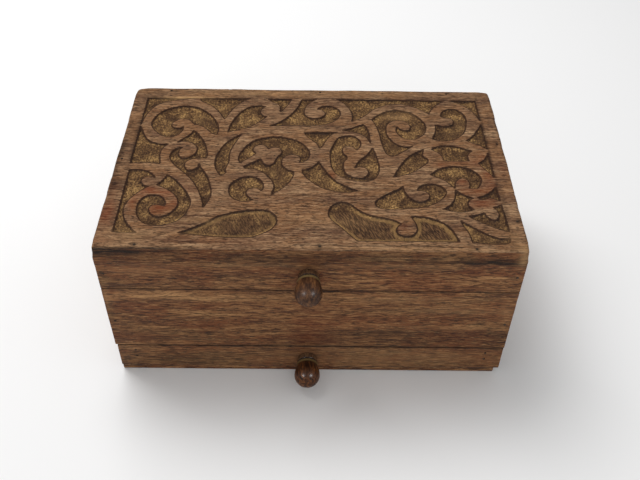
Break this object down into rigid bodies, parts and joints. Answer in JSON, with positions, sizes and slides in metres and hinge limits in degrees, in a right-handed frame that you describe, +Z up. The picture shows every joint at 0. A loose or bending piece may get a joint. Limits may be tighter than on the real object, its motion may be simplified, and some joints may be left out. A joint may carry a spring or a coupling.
{
  "type": "puzzle box",
  "caption": "Wooden puzzle box with a hinged scroll-carved lid, a case, a full-width drawer beneath, turned knobs and hidden sliding locks.",
  "frame": {"origin": "centre of the base's underside", "axes": "+X to the right along the box's length, the front with the knobs faces -Y, +Z up"},
  "size_m": [0.254, 0.1949, 0.1145],
  "materials": {
    "carved_top": "stained hardwood, carved, worn satin",
    "outer_board": "stained hardwood, satin",
    "inner_board": "plain hardwood, sawn and sanded",
    "knob": "turned hardwood, varnished",
    "hinge_brass": "aged brass",
    "fastener_steel": "dark steel"
  },
  "bodies": {
    "case": {"base_panel": "outer_board", "plinth_left_rail": "outer_board", "plinth_right_rail": "outer_board", "plinth_back_rail": "outer_board", "front_wall": "outer_board", "back_wall": "outer_board", "left_wall": "outer_board", "right_wall": "outer_board", "compartment_floor": "inner_board", "case_brads": "fastener_steel", "plinth_brads": "fastener_steel", "drawer_limit_cleat": "inner_board", "latch_guides": "inner_board", "slide_guides": "hinge_brass", "left_hinge_lower_leaf": "hinge_brass", "right_hinge_lower_leaf": "hinge_brass", "left_hinge_pin": "hinge_brass", "right_hinge_pin": "hinge_brass", "hinge_lower_screws": "hinge_brass"},
    "lid": {"carved_top_panel": "carved_top", "lid_front_rail": "outer_board", "lid_back_rail": "outer_board", "lid_left_rail": "outer_board", "lid_right_rail": "outer_board", "lid_panel_brads": "fastener_steel", "lid_rail_brads": "fastener_steel", "left_hinge_upper_leaf": "hinge_brass", "right_hinge_upper_leaf": "hinge_brass", "hinge_upper_screws": "hinge_brass", "lid_knob": "knob", "lid_knob_screw": "fastener_steel", "latch_keeper": "inner_board"},
    "drawer": {"drawer_front": "outer_board", "drawer_left_side": "inner_board", "drawer_right_side": "inner_board", "drawer_back": "inner_board", "drawer_bottom": "inner_board", "drawer_stop": "inner_board", "drawer_brads": "fastener_steel", "drawer_knob": "knob", "drawer_knob_screw": "fastener_steel"},
    "lid_latch": {"latch_bar": "inner_board"},
    "drawer_lock": {"slide_plate": "hinge_brass", "slide_peg": "hinge_brass"}
  },
  "joints": [
    {"name": "lid_hinge", "type": "hinge", "parent": "case", "child": "lid", "pos_m": [0, 0.0852, 0.07985], "axis": [-1, 0, 0], "range_deg": [0, 105]},
    {"name": "drawer_slide", "type": "slide", "parent": "case", "child": "drawer", "axis": [0, -1, 0], "range_m": [0, 0.11]},
    {"name": "latch_slide", "type": "slide", "parent": "case", "child": "lid_latch", "axis": [1, 0, 0], "range_m": [0, 0.01]},
    {"name": "lock_slide", "type": "slide", "parent": "case", "child": "drawer_lock", "axis": [1, 0, 0], "range_m": [0, 0.016]}
  ]
}
